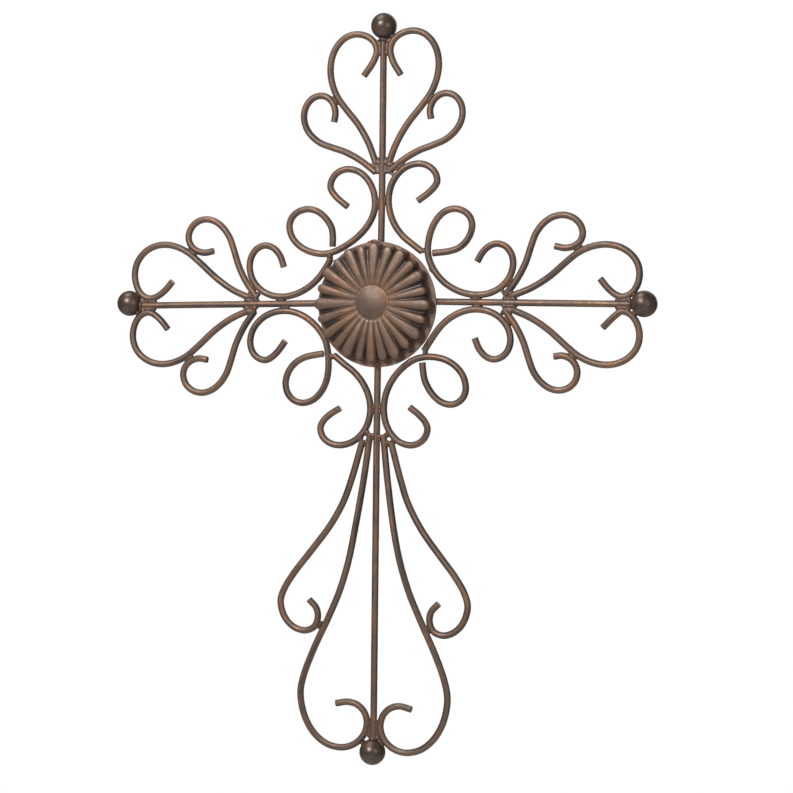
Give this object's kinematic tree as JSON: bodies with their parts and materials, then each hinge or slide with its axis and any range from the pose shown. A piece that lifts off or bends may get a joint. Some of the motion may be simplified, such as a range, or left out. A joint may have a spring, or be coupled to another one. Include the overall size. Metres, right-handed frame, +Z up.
{
  "type": "wall cross",
  "caption": "Openwork wall cross of scrolled round steel rod, with heart scrolls on its arms, looped corners, a stamped flower medallion and ball finials.",
  "frame": {"origin": "where the cross hangs: the back of the upright, under the weld of the top hearts", "axes": "+Z up, towards the top ball; -Y out from the wall, the way the medallion faces; +X to the right as seen from the front"},
  "size_m": [0.4664, 0.0278, 0.6112],
  "materials": {
    "rod_steel": "satin aged brown with rust-orange rub and dark patina, on round steel rod",
    "ball_steel": "satin mottled dark brown, on solid steel balls",
    "medallion_steel": "satin aged brown with dark grooves, on stamped sheet steel"
  },
  "bodies": {
    "root": {"bar_left": "rod_steel", "bar_right": "rod_steel", "corner_curl_lower_left": "rod_steel", "corner_curl_lower_right": "rod_steel", "corner_curl_upper_left": "rod_steel", "corner_curl_upper_right": "rod_steel", "curl_left_lower": "rod_steel", "curl_left_upper": "rod_steel", "curl_right_lower": "rod_steel", "curl_right_upper": "rod_steel", "curl_top_left": "rod_steel", "curl_top_right": "rod_steel", "finial_foot": "ball_steel", "finial_left": "ball_steel", "finial_right": "ball_steel", "finial_top": "ball_steel", "foot_scroll_left": "rod_steel", "foot_scroll_right": "rod_steel", "foot_spur_left": "rod_steel", "foot_spur_right": "rod_steel", "heart_left_lower": "rod_steel", "heart_left_upper": "rod_steel", "heart_right_lower": "rod_steel", "heart_right_upper": "rod_steel", "heart_top_left": "rod_steel", "heart_top_right": "rod_steel", "loop_lower_left": "rod_steel", "loop_lower_right": "rod_steel", "loop_upper_left": "rod_steel", "loop_upper_right": "rod_steel", "medallion": "medallion_steel", "upright": "rod_steel"}
  },
  "joints": []
}
